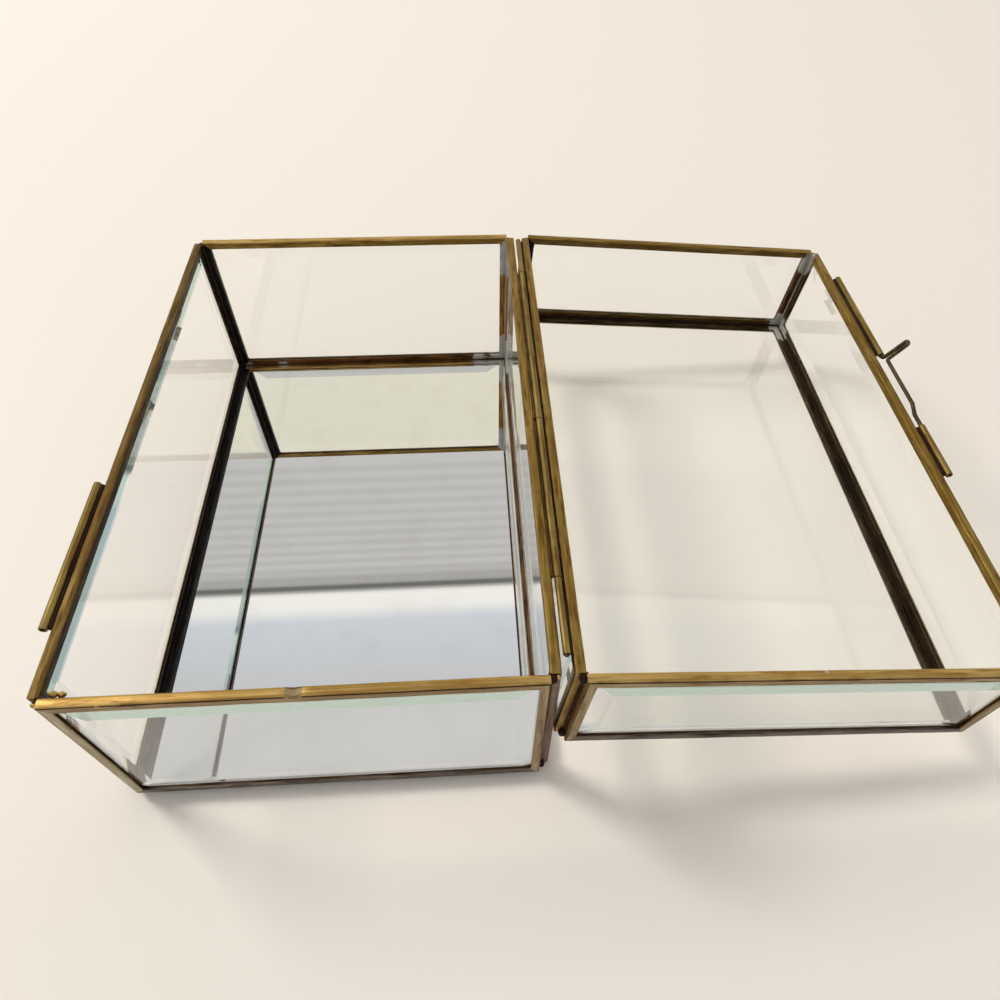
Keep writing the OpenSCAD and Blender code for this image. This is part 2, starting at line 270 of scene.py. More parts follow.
def fit(piece, body, slot, *replaced):
    """Turns a lid's piece open, and hands the piece over to its body."""
    close(piece)
    if body == "lid":
        put(piece, opening)
    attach(piece, body)
    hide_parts(*replaced)
    piece.select_set(False)


# ---------------------------------------------------------------- materials

def new_material(name):
    """New material with its node tree and its Principled shader."""
    material = bpy.data.materials.new(name)
    material.use_nodes = True
    tree = material.node_tree
    shader = tree.nodes["Principled BSDF"]
    return material, tree, shader


def add_node(tree, kind, settings=None, **values):
    """Adds a node. values are its inputs by name, with _ for a space."""
    node = tree.nodes.new(kind)
    for key, value in (settings or {}).items():
        setattr(node, key, value)
    for key, value in values.items():
        socket = node.inputs[key.replace("_", " ")]
        if isinstance(value, bpy.types.NodeSocket):
            tree.links.new(value, socket)
        else:
            socket.default_value = value
    return node


def colour(red, green, blue):
    """Linear colour from 0 to 255 screen values."""
    return [((c / 255 + 0.055) / 1.055) ** 2.4 if c > 10 else c / 255 / 12.92
            for c in (red, green, blue)] + [1.0]


def maths(tree, operation, first, second=0.5, third=0.5):
    """Maths node on numbers or sockets."""
    node = tree.nodes.new("ShaderNodeMath")
    node.operation = operation
    for socket, value in zip(node.inputs, (first, second, third)):
        if isinstance(value, bpy.types.NodeSocket):
            tree.links.new(value, socket)
        else:
            socket.default_value = value
    return node.outputs[0]


def blend_colours(tree, share, first, second):
    """Colour that goes from first to second as share goes from 0 to 1."""
    node = tree.nodes.new("ShaderNodeMix")
    node.data_type = "RGBA"
    for index, value in ((0, share), (6, first), (7, second)):
        if isinstance(value, bpy.types.NodeSocket):
            tree.links.new(value, node.inputs[index])
        else:
            node.inputs[index].default_value = value
    return node.outputs[2]


def spread(tree, value, low, high, out_low=0.0, out_high=1.0):
    """Maps a value softly from low..high to out_low..out_high."""
    node = tree.nodes.new("ShaderNodeMapRange")
    node.interpolation_type = "SMOOTHSTEP"
    tree.links.new(value, node.inputs["Value"])
    node.inputs["From Min"].default_value = low
    node.inputs["From Max"].default_value = high
    node.inputs["To Min"].default_value = out_low
    node.inputs["To Max"].default_value = out_high
    return node.outputs[0]


def noise(tree, place, scale, detail, roughness=0.5):
    """Cloudy pattern from 0 to 1."""
    return add_node(tree, "ShaderNodeTexNoise", Vector=place, Scale=scale, Detail=detail,
                    Roughness=roughness).outputs["Fac"]


# Sizes of the metal's marks: drawn out along a piece, or the same every way
STREAK_SCALE = (24, 1400, 1)
STAIN_SCALE = (70, 620, 1)
BLOTCH_SCALE = 260
PATCH_SCALE = 40
BROAD_SCALE = 34


def aged_metal_group():
    """Hand-worked metal: streaks and stains along the piece, dark patina, and smears of tin, whose mask also
    carries one painted highlight.
    """
    group = bpy.data.node_groups.new("aged_metal", "ShaderNodeTree")
    sockets = group.interface
    for name, kind in (("Grain", "NodeSocketVector"), ("Place", "NodeSocketVector"),
                       ("Light", "NodeSocketColor"), ("Mid", "NodeSocketColor"),
                       ("Warm", "NodeSocketColor"), ("Dark", "NodeSocketColor"),
                       ("Patina", "NodeSocketFloat"),
                       ("Roughness", "NodeSocketFloat"), ("Tinned", "NodeSocketFloat")):
        sockets.new_socket(name, in_out="INPUT", socket_type=kind)
    for name, kind in (("Color", "NodeSocketColor"), ("Roughness", "NodeSocketFloat"),
                       ("Height", "NodeSocketFloat")):
        sockets.new_socket(name, in_out="OUTPUT", socket_type=kind)
    given = group.nodes.new("NodeGroupInput").outputs
    result = group.nodes.new("NodeGroupOutput").inputs

    long_grain = add_node(group, "ShaderNodeMapping", Vector=given["Grain"], Scale=STREAK_SCALE)
    streaks = noise(group, long_grain.outputs[0], 1.0, 5.0, 0.6)
    drawn = add_node(group, "ShaderNodeMapping", Vector=given["Grain"], Scale=STAIN_SCALE)
    stains = noise(group, drawn.outputs[0], 1.0, 6.0, 0.62)
    blotches = noise(group, given["Place"], BLOTCH_SCALE, 6.0, 0.62)
    broad = noise(group, given["Place"], BROAD_SCALE, 3.0)
    patches = noise(group, given["Place"], PATCH_SCALE, 5.0, 0.6)
    grime = maths(group, "ADD", maths(group, "MULTIPLY", stains, 0.7),
                  maths(group, "MULTIPLY", broad, 0.3))
    tone = maths(group, "ADD", maths(group, "MULTIPLY", streaks, 0.5),
                 maths(group, "MULTIPLY", broad, 0.5))
    clean = blend_colours(group, spread(group, tone, 0.38, 0.62), given["Mid"], given["Light"])
    warmth = maths(group, "MULTIPLY_ADD", stains, 0.65, maths(group, "MULTIPLY", patches, 0.35))
    clean = blend_colours(group, spread(group, warmth, 0.46, 0.64), clean, given["Warm"])
    threshold = maths(group, "SUBTRACT", 0.86, maths(group, "MULTIPLY", given["Patina"], 0.72))
    dirt = maths(group, "MULTIPLY", maths(group, "SUBTRACT", grime, threshold), 4.0)
    dirt = maths(group, "MINIMUM", maths(group, "MAXIMUM", dirt, 0.0), 1.0)
    metal = blend_colours(group, dirt, clean, given["Dark"])
    # Silver where solder ran over the brass, and at the painted highlight on the near rim's dent
    tin_and_glint_mask = maths(group, "ADD", given["Tinned"], maths(group, "MULTIPLY_ADD", blotches, 1.6, -0.8))
    tin_and_glint_mask = spread(group, tin_and_glint_mask, 0.42, 0.62)
    grey = blend_colours(group, blotches, colour(142, 139, 132), colour(236, 234, 228))
    metal = blend_colours(group, tin_and_glint_mask, metal, grey)
    group.links.new(metal, result["Color"])
    rough = maths(group, "MULTIPLY_ADD", streaks, 0.16, given["Roughness"])
    rough = maths(group, "MULTIPLY_ADD", dirt, 0.2, rough)
    rough = maths(group, "MULTIPLY_ADD", tin_and_glint_mask, 0.1, rough)
    group.links.new(rough, result["Roughness"])
    height = maths(group, "MULTIPLY_ADD", streaks, 0.35, maths(group, "MULTIPLY", blotches, 0.5))
    group.links.new(height, result["Height"])
    return group


def aged_metal(name, light, mid, warm, dark, patina, roughness, metallic=1.0, by_uv=True):
    """Metal finish. patina is how much of it is covered by the dark tone, from 0 to 1."""
    material, tree, shader = new_material(name)
    place = tree.nodes.new("ShaderNodeTexCoord").outputs["Object"]
    if by_uv:
        grain = add_node(tree, "ShaderNodeUVMap", {"uv_map": "grain"}).outputs[0]
    else:
        turned = add_node(tree, "ShaderNodeMapping", Vector=place, Rotation=(0, 0, math.pi / 2))
        grain = turned.outputs[0]
    tinned = add_node(tree, "ShaderNodeAttribute", {"attribute_name": "tinned"}).outputs["Fac"]
    effect = tree.nodes.new("ShaderNodeGroup")
    effect.node_tree = METAL_GROUP
    for key, value in (("Grain", grain), ("Place", place), ("Tinned", tinned)):
        tree.links.new(value, effect.inputs[key])
    for key, value in (("Light", light), ("Mid", mid), ("Warm", warm), ("Dark", dark),
                       ("Patina", patina), ("Roughness", roughness)):
        effect.inputs[key].default_value = value
    relief = add_node(tree, "ShaderNodeBump", Height=effect.outputs["Height"],
                      Strength=0.3, Distance=0.15 * MM)
    tree.links.new(effect.outputs["Color"], shader.inputs["Base Color"])
    tree.links.new(effect.outputs["Roughness"], shader.inputs["Roughness"])
    tree.links.new(relief.outputs[0], shader.inputs["Normal"])
    shader.inputs["Metallic"].default_value = metallic
    shader.inputs["Specular IOR Level"].default_value = 0.5 * max(metallic, 0.3)
    return material


def pane_glass(name, tint):
    """Clear glass. Lamp light and light caught inside a pane pass straight through."""
    material, tree, shader = new_material(name)
    shader.inputs["Base Color"].default_value = tint
    shader.inputs["Roughness"].default_value = 0.0
    shader.inputs["Transmission Weight"].default_value = 1.0
    shader.inputs["IOR"].default_value = 1.5
    clear = add_node(tree, "ShaderNodeBsdfTransparent", Color=colour(253, 254, 253))
    path = tree.nodes.new("ShaderNodeLightPath")
    guided = maths(tree, "GREATER_THAN", path.outputs["Ray Depth"], DEEPEST_RAY)
    passed = maths(tree, "MAXIMUM", path.outputs["Is Shadow Ray"], guided)
    mix = tree.nodes.new("ShaderNodeMixShader")
    tree.links.new(passed, mix.inputs[0])
    tree.links.new(shader.outputs[0], mix.inputs[1])
    tree.links.new(clear.outputs[0], mix.inputs[2])
    tree.links.new(mix.outputs[0], tree.nodes["Material Output"].inputs["Surface"])
    return material


def silvered(name, bright, dull, clear, hazy):
    """Silvered face, with a haze that takes it from bright and clear to dull and hazy."""
    material, tree, shader = new_material(name)
    shader.inputs["Metallic"].default_value = 1.0
    place = tree.nodes.new("ShaderNodeTexCoord").outputs["Object"]
    haze = noise(tree, place, 60.0, 6.0)
    tree.links.new(blend_colours(tree, spread(tree, haze, 0.45, 0.8), bright, dull),
                   shader.inputs["Base Color"])
    tree.links.new(spread(tree, haze, 0.45, 0.8, clear, hazy), shader.inputs["Roughness"])
    return material


def backing_paint():
    """Dull grey paint on the mirror's underside."""
    material, tree, shader = new_material("backing_paint")
    place = tree.nodes.new("ShaderNodeTexCoord").outputs["Object"]
    speckle = noise(tree, place, 400.0, 4.0)
    tone = blend_colours(tree, speckle, colour(92, 88, 84), colour(122, 118, 112))
    tree.links.new(tone, shader.inputs["Base Color"])
    shader.inputs["Roughness"].default_value = 0.6
    return material


# Light that has met more surfaces than this goes straight through a pane
DEEPEST_RAY = 3.5

METAL_GROUP = aged_metal_group()
RAIL_BRASS = aged_metal("rail_brass", colour(212, 178, 112), colour(168, 134, 72),
                        colour(164, 122, 62), colour(100, 74, 34), 0.46, 0.30)
OLIVE_BRASS = aged_metal("olive_brass", colour(172, 142, 74), colour(128, 102, 46),
                         colour(136, 98, 44), colour(70, 52, 24), 0.54, 0.36)
RIM_BRASS = aged_metal("rim_brass", colour(138, 112, 64), colour(100, 78, 40),
                       colour(106, 74, 38), colour(54, 40, 22), 0.54, 0.40)
# Outer flanges: greyer and darker than the webs, partly patina and partly painted shade on the sides of the
# channels.
FRONT_BRASS = aged_metal("front_brass", colour(176, 158, 122), colour(136, 116, 84),
                         colour(134, 104, 68), colour(78, 62, 44), 0.50, 0.38)
KHAKI_BRASS = aged_metal("khaki_brass", colour(186, 176, 148), colour(152, 140, 110),
                         colour(146, 126, 92), colour(92, 80, 60), 0.46, 0.40)
TAUPE_BRASS = aged_metal("taupe_brass", colour(138, 116, 98), colour(108, 86, 70),
                         colour(104, 74, 54), colour(56, 42, 36), 0.50, 0.40, 0.9)
FOOT_BRASS = aged_metal("foot_brass", colour(122, 110, 98), colour(84, 74, 66),
                        colour(78, 62, 50), colour(26, 22, 22), 0.52, 0.38, 0.8)
GOLDEN_BROWN = aged_metal("golden_brown", colour(186, 142, 72), colour(142, 98, 42),
                          colour(130, 78, 34), colour(84, 54, 24), 0.48, 0.32)
BROWN_BRASS = aged_metal("brown_brass", colour(132, 96, 56), colour(96, 62, 34),
                         colour(84, 44, 24), colour(40, 26, 18), 0.50, 0.34, 0.9)
UMBER_BRASS = aged_metal("umber_brass", colour(96, 78, 48), colour(50, 38, 26),
                         colour(44, 26, 18), colour(16, 12, 10), 0.56, 0.34, 0.6)
BLACK_BRASS = aged_metal("black_brass", colour(34, 32, 34), colour(14, 12, 13),
                         colour(20, 13, 12), colour(6, 6, 7), 0.62, 0.26, 0.4)
# Painted shade: a dark brown line on the outside of each fold, where the web bends into the outer flange.
CREASE_SHADE = aged_metal("crease_grime", colour(92, 62, 36), colour(58, 36, 22),
                          colour(48, 24, 16), colour(24, 16, 12), 0.55, 0.45, 0.5)
# Painted shade: a dull dark brown, with no metal, for the lid's hinge rim, where the narrow gap by the hinge tubes
# lies in shade.
GAP_SHADE = aged_metal("gap_grime", colour(84, 50, 32), colour(56, 31, 21),
                       colour(68, 30, 19), colour(24, 14, 10), 0.55, 0.62, 0.0)
TUBE_BRASS = aged_metal("tube_brass", colour(170, 146, 84), colour(124, 104, 54),
                        colour(128, 92, 44), colour(66, 52, 26), 0.52, 0.36)
WIRE_BRASS = aged_metal("wire_brass", colour(124, 104, 74), colour(76, 62, 44),
                        colour(70, 50, 34), colour(30, 25, 20), 0.58, 0.36, by_uv=False)
GOLD_SOLDER = aged_metal("gold_solder", colour(208, 176, 100), colour(152, 122, 58),
                         colour(140, 100, 44), colour(76, 58, 28), 0.46, 0.28, by_uv=False)
SOLDER = aged_metal("solder", colour(206, 202, 192), colour(150, 146, 136),
                    colour(150, 128, 96), colour(66, 60, 52), 0.50, 0.32, by_uv=False)
OLD_SOLDER = aged_metal("old_solder", colour(104, 78, 46), colour(58, 40, 26),
                        colour(62, 34, 20), colour(20, 15, 12), 0.58, 0.36, 0.8, by_uv=False)
DARK_SOLDER = aged_metal("dark_solder", colour(60, 38, 28), colour(34, 21, 16),
                         colour(42, 18, 13), colour(12, 9, 8), 0.58, 0.5, 0.2, by_uv=False)
PANE_GLASS = pane_glass("pane_glass", colour(252, 253, 252))
BEVEL_GLASS = pane_glass("bevel_glass", colour(158, 195, 185))
MIRROR = silvered("silvered_glass", colour(239, 240, 241), colour(234, 234, 234), 0.0, 0.0)
TIN = silvered("polished_tin", colour(246, 246, 243), colour(226, 225, 221), 0.12, 0.18)
BACKING = backing_paint()


# ---------------------------------------------------------------- brass channels

def dent(piece, spot, reach, push):
    """Pushes a small soft dent into an open piece's fold."""
    pick(piece, "verts", lambda v: (v.co - spot).length < reach)
    bpy.ops.transform.translate(value=push, use_proportional_edit=True,
                                proportional_edit_falloff="SMOOTH", proportional_size=reach)


def lay_grain(piece, a, b):
    """UV map with U along each bar and V across it, and no grain shared by two bars."""
    layer = piece.data.uv_layers.new(name="grain")
    for face in piece.data.polygons:
        centre = face.center
        upright = a / 2 - abs(centre.x) < b / 2 - abs(centre.y)
        for loop in face.loop_indices:
            spot = piece.data.vertices[piece.data.loops[loop].vertex_index].co
            if upright:
                layer.data[loop].uv = (spot.y, spot.x + spot.z)
            else:
                layer.data[loop].uv = (spot.x + GRAIN_APART, spot.y + spot.z)


def bar_of(centre, a, b):
    """Names the bar a face lies on: foot, rim, or the first or last stile."""
    if a / 2 - abs(centre.x) < b / 2 - abs(centre.y):
        return "last" if centre.x > 0 else "first"
    return "rim" if centre.y > 0 else "foot"


def zone_of(face, a, b):
    """Names the part of a bar a face lies on: crease, web, inner or outer flange."""
    inset = -max(abs(face.center.x) - a / 2, abs(face.center.y) - b / 2)
    faces_in = face.center.z < 1.5 * SHEET
    if not faces_in and CREASE_INSET < inset < FOLD and abs(face.normal.z) > 0.5:
        return "crease"
    if inset < WEB_INSET:
        return "web"
    return "inner" if faces_in else "outer"


def dress_channel(piece, node, a, b):
    """Gives each bar's web, crease and flanges their finish."""
    slots = []
    for face in piece.data.polygons:
        zone = zone_of(face, a, b)
        finish = BAR_FINISH.get((node, zone, bar_of(face.center, a, b)))
        finish = finish or ZONE_FINISH.get((node, zone)) or PLAIN_FINISH[zone]
        if finish not in slots:
            slots.append(finish)
            piece.data.materials.append(finish)
        face.material_index = slots.index(finish)


def folded_channel(name, a, b, width, seed):
    """Channel folded round a pane, a by b outside, with its inner face on z = 0."""
    bpy.ops.mesh.primitive_plane_add(size=1)
    piece = start(name)
    bpy.ops.transform.resize(value=(a, b, 1))
    bpy.ops.mesh.inset(thickness=FLANGE)
    bpy.ops.mesh.delete(type="FACE")
    pick(piece, "edges", lambda e: abs(middle(e).x) > a / 2 - SNAP
         or abs(middle(e).y) > b / 2 - SNAP)
    bpy.ops.mesh.extrude_region_move(TRANSFORM_OT_translate={"value": (0, 0, width)})
    pick(piece, "edges", lambda e: middle(e).z > width - SNAP)
    bpy.ops.mesh.extrude_region_move(TRANSFORM_OT_translate={"value": (0, 0, 0)})
    bpy.ops.transform.resize(value=((a - 2 * FLANGE) / a, (b - 2 * FLANGE) / b, 1))
    pick(piece, "edges", lambda e: len(e.link_faces) == 2 and not along(e, 2)
         and e.calc_face_angle() > SHARP)
    bpy.ops.mesh.bevel(offset=FOLD, segments=3, affect="EDGES")
    for axis, length in ((0, a), (1, b)):
        pick(piece, "edges", lambda e: along(e, axis) and e.calc_length() > length / 2)
        bpy.ops.mesh.subdivide(number_cuts=round(length / STEP))
    split_mitres(piece, a, b)
    if name in DENTS:
        x, depth = DENTS[name]
        dent(piece, Vector((x, b / 2, width * DENT_ACROSS)), DENT_REACH, (0, -depth, 0))
    thicken(piece, SHEET, ARRIS, BRASS_WAVE, BRASS_WOBBLE, seed)
    lay_grain(piece, a, b)
    return piece


def split_mitres(piece, a, b):
    """Opens the mitres in both flanges, which widen a little towards the pane."""
    def on_mitre(e):
        spots = [v.co for v in e.verts]
        gaps = [abs((a / 2 - abs(s.x)) - (b / 2 - abs(s.y))) for s in spots]
        return max(gaps) < FINE_SNAP and not along(e, 2) and len(e.link_faces) == 2

    pick(piece, "edges", on_mitre)
    bpy.ops.mesh.edge_split(type="EDGE")
    inner_x = a / 2 - FLANGE
    inner_y = b / 2 - FLANGE

    def on_level_bar(v):
        at_corner = (abs(abs(v.co.x) - inner_x) < FINE_SNAP
                     and abs(abs(v.co.y) - inner_y) < FINE_SNAP)
        return at_corner and all(abs(f.calc_center_median().y) > inner_y for f in v.link_faces)

    pick(piece, "verts", on_level_bar)
    bpy.ops.transform.resize(value=(1 - MITRE_GAP / inner_x, 1, 1))


def wall_place(turn, reach, height, roll):
    """Place of a wall: its inner face at reach from the middle, rolled rim up or rim down."""
    return (Matrix.Rotation(turn, 4, "Z") @ Matrix.Translation((0, -reach, height))
            @ Matrix.Rotation(math.pi / 2, 4, "X") @ Matrix.Rotation(roll, 4, "Z"))


def flat_places():
    """Each channel frame's name with its outline, width and place in the shut box."""
    places = {}
    for part, roll in (("base", 0.0), ("lid", math.pi)):
        for side, turn in (("near", 0.0), ("hinge", 0.5), ("far", 1.0), ("latch", 1.5)):
            node = f"{part}_{side}_frame"
            low, high = shut_box(node)
            size = high - low
            long_way, thin_way = (0, 1) if side in ("near", "far") else (1, 0)
            reach = min(abs(low[thin_way]), abs(high[thin_way]))
            place = wall_place(turn * math.pi, reach, (low.z + high.z) / 2, roll)
            places[node] = (size[long_way], size.z, size[thin_way], place)
    low, high = shut_box("floor_frame")
    size = high - low
    upside_down = Matrix.Translation((0, 0, high.z)) @ Matrix.Rotation(math.pi, 4, "X")
    places["floor_frame"] = (size.x, size.y, size.z, upside_down)
    low, high = shut_box("lid_top_frame")
    size = high - low
    places["lid_top_frame"] = (size.x, size.y, size.z, Matrix.Translation((0, 0, low.z)))
    return places


# ---------------------------------------------------------------- glass

def bevelled_pane(name, a, b, rim_glass):
    """Pane for a channel of outline a by b, with its bevels on the outer face.

    The glass by the rim, bevel and inner face alike, is rim_glass.
    """
    wide = a - 2 * (SHEET + EDGE_GAP)
    high = b - 2 * (SHEET + EDGE_GAP)
    green_from = high / 2 - GREEN_REACH
    bpy.ops.mesh.primitive_plane_add(size=1)
    piece = start(name)
    bpy.ops.transform.resize(value=(wide, high, 1))
    bpy.ops.transform.translate(value=(0, 0, SHEET + PANE_EDGE))
    bpy.ops.mesh.inset(thickness=BEVEL)
    bpy.ops.transform.translate(value=(0, 0, PANE - PANE_EDGE))
    pick(piece, "edges", lambda e: len(e.link_faces) == 1)
    bpy.ops.mesh.extrude_region_move(TRANSFORM_OT_translate={"value": (0, 0, -PANE_EDGE)})
    bpy.ops.mesh.edge_face_add()
    bpy.ops.mesh.bisect(plane_co=(0, green_from, 0), plane_no=(0, 1, 0))
    close(piece)
    outward()
    piece.data.materials.append(PANE_GLASS)
    piece.data.materials.append(rim_glass)
    for face in piece.data.polygons:
        by_rim = face.center.y > green_from and abs(face.normal.z) > 0.1
        face.material_index = int(by_rim)
    return piece


def mirror_plate():
    """Silvered plate on the floor channel's outer flange, with its arrises taken off."""
    low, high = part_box("floor_mirror")
    size = high - low
    bpy.ops.mesh.primitive_cube_add(size=1, location=(low + high) / 2)
    piece = start("mirror_plate")
    bpy.ops.transform.resize(value=size)
    bpy.ops.mesh.bevel(offset=MIRROR_ARRIS, segments=1, affect="EDGES")
    close(piece)
    bpy.ops.object.transform_apply(location=True, rotation=True, scale=True)
    piece.data.materials.append(MIRROR)
    piece.data.materials.append(BACKING)
    for face in piece.data.polygons:
        face.material_index = int(face.normal.z < -0.5)
    return piece


# ---------------------------------------------------------------- solder

def join(name, parts):
    """Joins several parts into one piece."""
    bpy.ops.object.select_all(action="DESELECT")
    for part in parts:
        part.select_set(True)
    bpy.context.view_layer.objects.active = parts[0]
    bpy.ops.object.join()
    parts[0].name = name
    parts[0].data.name = name
    return parts[0]


def bead(name, first, last, radius, finish, seed):
    """Lumpy run of solder from first to last."""
    run = last - first
    bpy.ops.mesh.primitive_cylinder_add(vertices=BEAD_SIDES, radius=radius, depth=run.length)
    piece = start(name)
    pick(piece, "edges", lambda e: along(e, 2))
    bpy.ops.mesh.subdivide(number_cuts=max(4, round(run.length / BEAD_STEP)))
    close(piece)
    wobble(piece, BEAD_WAVE, BEAD_LUMPS, seed)
    piece.data.materials.append(finish)
    bpy.ops.object.shade_smooth()
    put(piece, Matrix.Translation((first + last) / 2)
        @ run.to_track_quat("Z", "Y").to_matrix().to_4x4())
    return piece


def blob(name, centre, size, finish, seed):
    """Set drop of solder."""
    bpy.ops.mesh.primitive_ico_sphere_add(subdivisions=4, radius=0.5)
    piece = start(name)
    bpy.ops.transform.resize(value=size)
    close(piece)
    wobble(piece, DROP_WAVE, DROP_LUMPS, seed)
    piece.data.materials.append(finish)
    bpy.ops.object.shade_smooth()
    put(piece, Matrix.Translation(centre))
    return piece


def corner_signs():
    """The four corners, as signs of x and y."""
    return [(side_x, side_y) for side_x in (-1, 1) for side_y in (-1, 1)]


def seam_beads(part, level, low_z, high_z, seed):
    """Beads in a part's inner corners: four upright ones and four round the flat frame."""
    reach = Vector((flat_inner_x, flat_inner_y))
    near = reach - Vector((SEAM_INSET, SEAM_INSET))
    uprights = []
    levels = []
    for side_x, side_y in corner_signs():
        outer_side = side_x > 0 if part == "base" else side_x < 0
        finish = SOLDER if outer_side and side_y > 0 else OLD_SOLDER
        spot = (side_x * near.x, side_y * near.y)
        uprights.append(bead(f"{part}_corner", Vector((*spot, low_z)), Vector((*spot, high_z)),
                             SEAM_RADIUS, finish, seed + len(uprights)))
    for side in (-1, 1):
        along_x = [Vector((end * near.x, side * near.y, level)) for end in (-1, 1)]
        along_y = [Vector((side * near.x, end * near.y, level)) for end in (-1, 1)]
        for ends in (along_x, along_y):
            finish = OLD_SOLDER if part == "base" and side > 0 else DARK_SOLDER
            levels.append(bead(f"{part}_level", *ends, SEAM_RADIUS, finish,
                               seed + LEVEL_SEED + len(levels)))
    return uprights, levels


def notch_solder(part, low_z, high_z, seed):
    """Solder in the four outer corners: a dark run in each, with a drop at both ends."""
    parts = []
    for side_x, side_y in corner_signs():
        run = [Vector((side_x * (flat_inner_x + NOTCH_RUN), side_y * (flat_inner_y + NOTCH_RUN), z))
               for z in (low_z, high_z)]
        parts.append(bead(f"{part}_run", *run, SEAM_RADIUS, DARK_SOLDER, seed + len(parts)))
        for z in (low_z, high_z):
            centre = Vector((side_x * (flat_inner_x + NOTCH_REACH),
                             side_y * (flat_inner_y + NOTCH_REACH), z))
            finish = SOLDER if side_x > 0 and side_y > 0 else DARK_SOLDER
            parts.append(blob(f"{part}_drop", centre, NOTCH_DROP, finish, seed + len(parts)))
    return parts


def gold_drops(seed):
    """Lumps of brass-coloured solder at the base's rim."""
    drops = []
    for side_x, side_y, offset, size in GOLD_DROPS:
        corner = Vector((side_x * flat_inner_x, side_y * flat_inner_y, base_rim))
        drops.append(blob("gold_drop", corner + Vector(offset) * MM, Vector(size) * MM,
                          GOLD_SOLDER, seed + len(drops)))
    return drops


# ---------------------------------------------------------------- tubes

def lay_tube_grain(piece, outside, seed):
    """UV map with U along a tube and V round it."""
    layer = piece.data.uv_layers.new(name="grain")
    for corner, loop in enumerate(piece.data.loops):
        spot = piece.data.vertices[loop.vertex_index].co
        layer.data[corner].uv = (spot.z + seed, math.atan2(spot.y, spot.x) * outside / 2)


def rolled_tube(node, wall_side, foot_up, foot_finish, seed):
    """Tube rolled from strip, with its open seam, and the solder that holds it."""
    low, high = shut_box(node)
    outside = high.z - low.z
    length = high.y - low.y
    axis_x = high.x - outside / 2 if wall_side < 0 else low.x + outside / 2
    axis_z = (low.z + high.z) / 2
    bpy.ops.mesh.primitive_circle_add(vertices=TUBE_FACETS, radius=outside / 2)
    piece = start(node.replace("tube", "rolled_tube"))
    seam_way = Vector((-wall_side * math.sin(TUBE_SEAM), math.cos(TUBE_SEAM), 0))
    pick(piece, "edges", lambda e: middle(e).angle(seam_way) < TUBE_SEAM_REACH)
    bpy.ops.mesh.delete(type="EDGE")
    bpy.ops.mesh.select_all(action="SELECT")
    bpy.ops.mesh.extrude_region_move(TRANSFORM_OT_translate={"value": (0, 0, length)})
    pick(piece, "edges", lambda e: along(e, 2))
    bpy.ops.mesh.subdivide(number_cuts=round(length / STEP) * 2)
    thicken(piece, TUBE_WALL, TUBE_ARRIS, TUBE_WAVE, TUBE_WOBBLE, seed)
    lay_tube_grain(piece, outside, seed)
    piece.data.materials.append(TUBE_BRASS)
    lying = Matrix(((1, 0, 0, axis_x), (0, 0, 1, low.y), (0, 1, 0, axis_z), (0, 0, 0, 1)))
    put(piece, lying)
    outward()
    wall_x = low.x if wall_side < 0 else high.x
    foot_x = wall_x + FOOT_REACH * (axis_x - wall_x)
    foot_z = axis_z + (FOOT_OFF if foot_up else -FOOT_OFF)
    foot_ends = [Vector((foot_x, y, foot_z)) for y in (low.y + FOOT_SHORT, high.y - FOOT_SHORT)]
    foot = bead("foot", *foot_ends, FOOT_RADIUS, foot_finish, seed)
    return join(piece.name, [piece, foot])


# ---------------------------------------------------------------- pieces

flats = flat_places()
flat_inner_x, flat_inner_y, floor_top = shut_box("floor_frame")[1]
lid_top = shut_box("lid_top_frame")[0].z
lid_rim = shut_box("lid_near_frame")[0].z
base_rim = shut_box("base_near_frame")[1].z

# Panes whose rim shows the green of the glass
GREEN_RIMS = ("base_near_frame", "base_latch_frame", "lid_near_frame", "lid_hinge_frame")

# Finishes of the channels' webs, creases and flanges: for all, for one frame, for one bar
PLAIN_FINISH = {"web": RAIL_BRASS, "inner": BROWN_BRASS, "outer": FRONT_BRASS,
                "crease": CREASE_SHADE}
ZONE_FINISH = {
    ("base_latch_frame", "web"): RIM_BRASS, ("base_hinge_frame", "web"): OLIVE_BRASS,
    ("lid_latch_frame", "web"): OLIVE_BRASS, ("lid_hinge_frame", "web"): OLIVE_BRASS,
    ("lid_far_frame", "web"): OLIVE_BRASS,
    ("floor_frame", "web"): FOOT_BRASS, ("floor_frame", "outer"): FOOT_BRASS,
    # Inner flanges on the base's latch wall and the lid's hinge wall are near black: partly dark patina, partly
    # painted reflection of the darker surroundings they face.
    ("base_latch_frame", "inner"): BLACK_BRASS, ("lid_hinge_frame", "inner"): BLACK_BRASS,
    ("lid_latch_frame", "inner"): UMBER_BRASS, ("lid_far_frame", "inner"): UMBER_BRASS,
    ("lid_top_frame", "inner"): UMBER_BRASS, ("floor_frame", "inner"): TIN,
}
